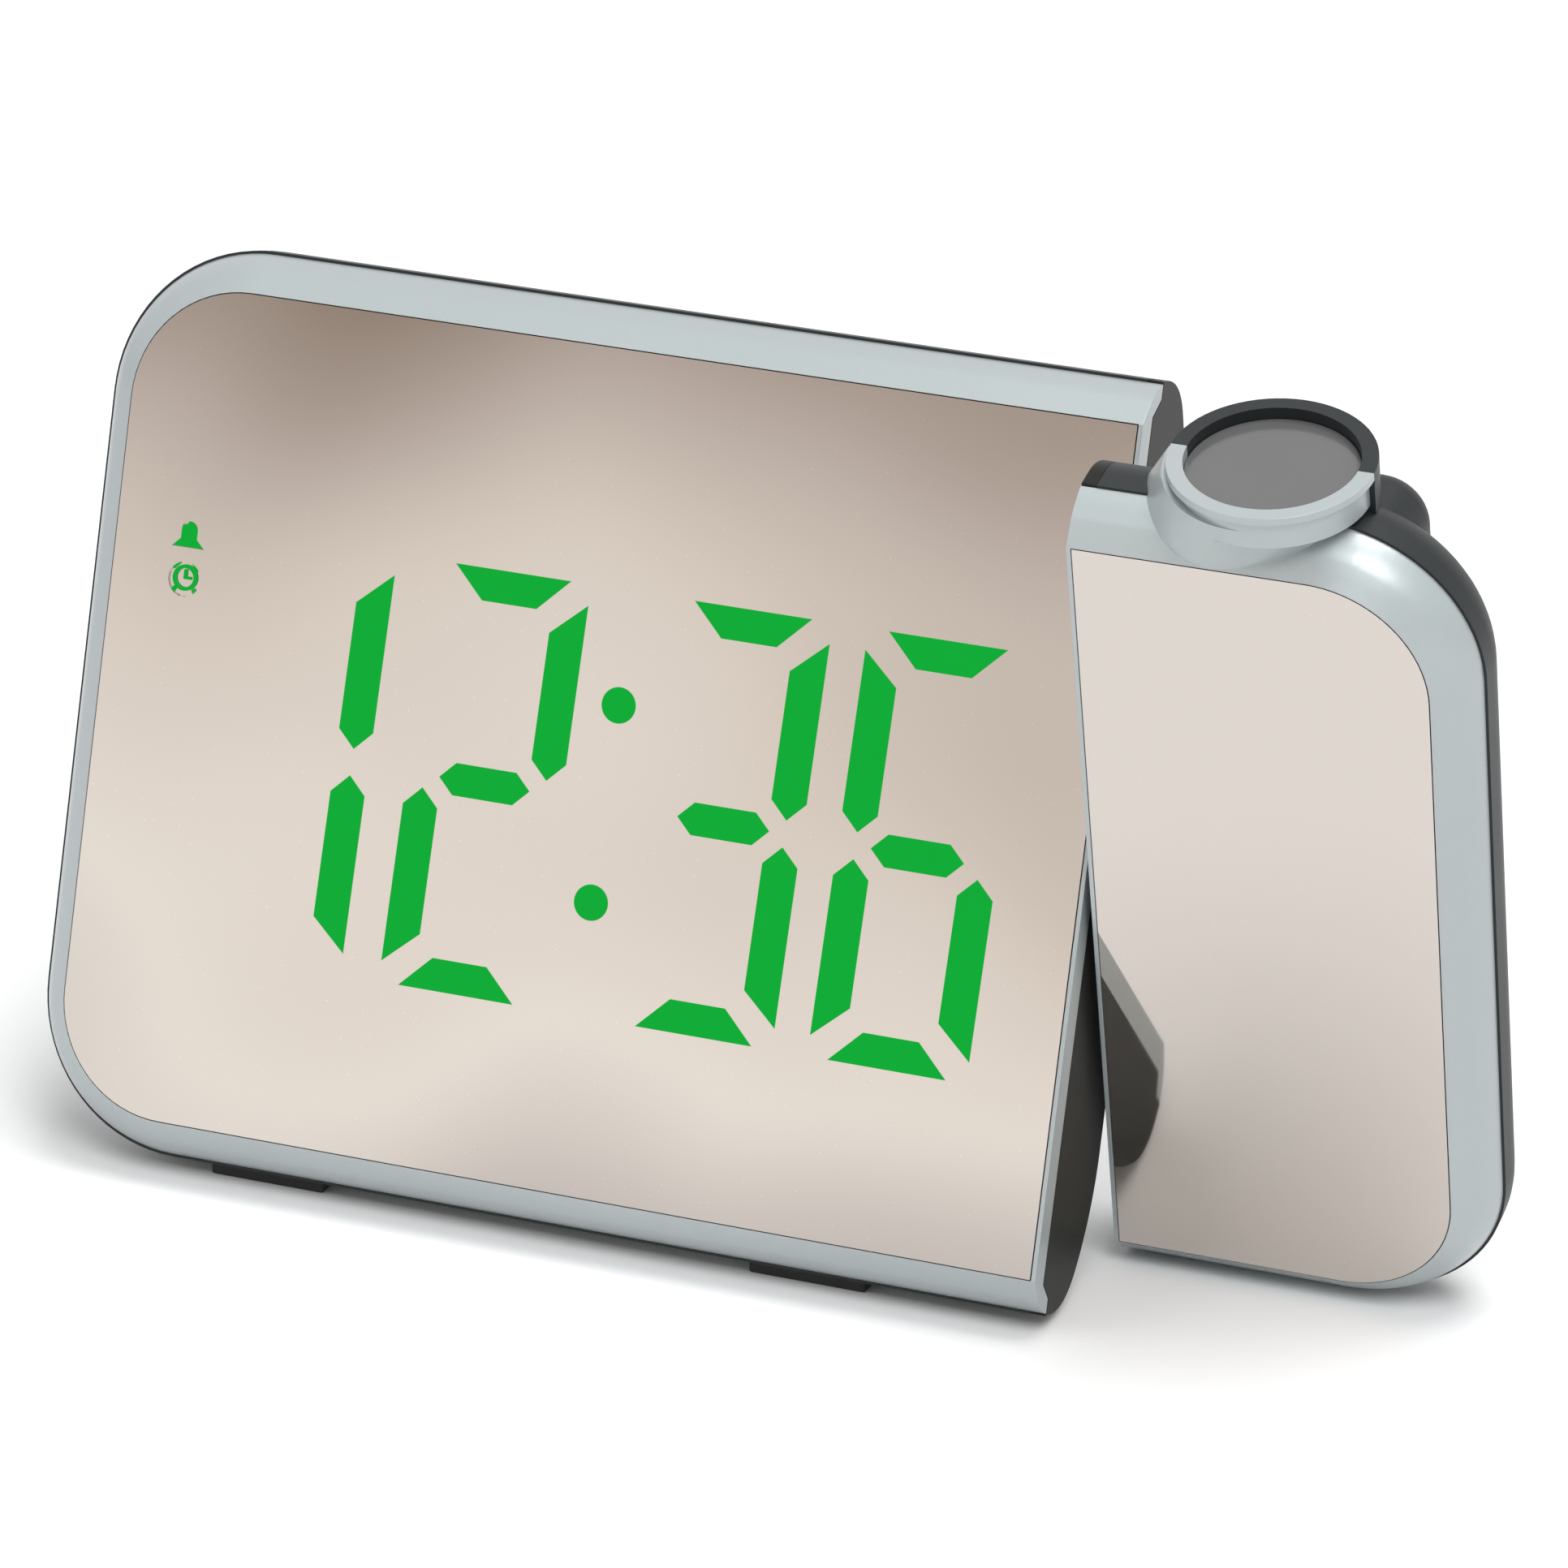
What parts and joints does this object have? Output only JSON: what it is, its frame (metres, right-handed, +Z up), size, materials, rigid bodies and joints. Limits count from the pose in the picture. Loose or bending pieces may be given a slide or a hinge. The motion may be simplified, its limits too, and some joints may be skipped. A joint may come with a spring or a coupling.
{
  "type": "projection_alarm_clock",
  "caption": "Desk alarm clock with a mirror face, lit green seven-bar digits and a swivelling projector arm with a round head",
  "frame": {"origin": "Centre of the bounding box on the floor plane, under the rubber feet", "axes": "+X runs from the display unit to the projector arm, +Y from the mirror face to the back, +Z up"},
  "size_m": [0.1698, 0.047, 0.1089],
  "materials": {
    "silver_frame": "satin",
    "black_shell": "satin",
    "glossy_end": "gloss",
    "mirror_face": "mirror",
    "lit_green": "gloss",
    "white_block": "matte",
    "lamp_body": "gloss",
    "board_green": "satin",
    "chip_black": "matte",
    "contact_metal": "satin",
    "cell_metal": "satin",
    "button_grey": "satin",
    "foot_rubber": "matte",
    "hinge_steel": "satin",
    "bush_plastic": "satin",
    "window_dark": "gloss",
    "lens_clear": "clear",
    "slide_film": "gloss"
  },
  "bodies": {
    "display_unit": {"display_front_frame": "silver_frame", "display_mirror": "mirror_face", "lit_digits": "lit_green", "alarm_sign": "lit_green", "display_rear_shell": "black_shell", "display_end_wall": "glossy_end", "light_box": "white_block", "led_set": "lamp_body", "main_board": "board_green", "board_chips": "chip_black", "tact_switches": "chip_black", "buzzer": "chip_black", "cell_holder": "chip_black", "coin_cell": "cell_metal", "power_inlet": "contact_metal", "charging_outlet": "contact_metal", "display_screws": "hinge_steel", "display_feet": "foot_rubber", "hinge_bush": "bush_plastic", "friction_washer": "bush_plastic", "spring_washer": "hinge_steel"},
    "projector_arm": {"arm_front_frame": "silver_frame", "arm_mirror": "mirror_face", "arm_rear_shell": "black_shell", "arm_end_wall": "glossy_end", "hinge_shaft": "hinge_steel", "shaft_clip": "hinge_steel", "projector_tube": "chip_black", "projector_window": "window_dark", "condenser_lens": "lens_clear", "time_slide": "slide_film", "slide_mount": "chip_black", "projector_lamp": "lamp_body", "projector_board": "board_green", "arm_switch_board": "board_green", "arm_tact_switch": "chip_black", "arm_screws": "hinge_steel", "arm_foot": "foot_rubber"},
    "focus_knob": {"focus_knob": "button_grey"},
    "focus_lens": {"projection_lens": "lens_clear"},
    "projector_button": {"projector_button": "button_grey"},
    "cell_cover": {"cell_cover": "button_grey"},
    "set_button": {"set_button": "button_grey"},
    "alarm_button": {"alarm_button": "button_grey"},
    "down_button": {"down_button": "button_grey"},
    "up_button": {"up_button": "button_grey"},
    "snooze_button": {"snooze_button": "button_grey"}
  },
  "joints": [
    {"name": "arm_swivel", "type": "hinge", "parent": "display_unit", "child": "projector_arm", "pos_m": [0.0398, 0.0035, 0.0486], "axis": [1, 0, 0], "range_deg": [-31.5, 148.5]},
    {"name": "set_press", "type": "slide", "parent": "display_unit", "child": "set_button", "axis": [0, -0.9625, 0.2714], "range_m": [0, 0.0006], "stiffness_N_per_m": 400, "springref_m": -0.0005},
    {"name": "alarm_press", "type": "slide", "parent": "display_unit", "child": "alarm_button", "axis": [0, -0.9625, 0.2714], "range_m": [0, 0.0006], "stiffness_N_per_m": 400, "springref_m": -0.0005},
    {"name": "down_press", "type": "slide", "parent": "display_unit", "child": "down_button", "axis": [0, -0.9625, 0.2714], "range_m": [0, 0.0006], "stiffness_N_per_m": 400, "springref_m": -0.0005},
    {"name": "up_press", "type": "slide", "parent": "display_unit", "child": "up_button", "axis": [0, -0.9625, 0.2714], "range_m": [0, 0.0006], "stiffness_N_per_m": 400, "springref_m": -0.0005},
    {"name": "snooze_press", "type": "slide", "parent": "display_unit", "child": "snooze_button", "axis": [0, -0.9625, 0.2714], "range_m": [0, 0.0006], "stiffness_N_per_m": 400, "springref_m": -0.0005},
    {"name": "projector_press", "type": "slide", "parent": "projector_arm", "child": "projector_button", "axis": [0, -0.9625, -0.2714], "range_m": [0, 0.0006], "stiffness_N_per_m": 400, "springref_m": -0.0005},
    {"name": "cover_turn", "type": "hinge", "parent": "display_unit", "child": "cell_cover", "pos_m": [-0.0429, 0.01136, 0.04296], "axis": [0, 0.9625, -0.2714], "range_deg": [-45, 0]},
    {"name": "focus_turn", "type": "hinge", "parent": "projector_arm", "child": "focus_knob", "pos_m": [0.0608, 0.00541, 0.08935], "axis": [0, 0.9625, 0.2714], "range_deg": [-60, 60]},
    {"name": "lens_slide", "type": "slide", "parent": "projector_arm", "child": "focus_lens", "axis": [0, -0.2714, 0.9625], "range_m": [-0.00099, 0.00099]}
  ],
  "couplings": [
    {"joint": "focus_turn", "follows": "lens_slide", "rad_per_m": 1050}
  ]
}
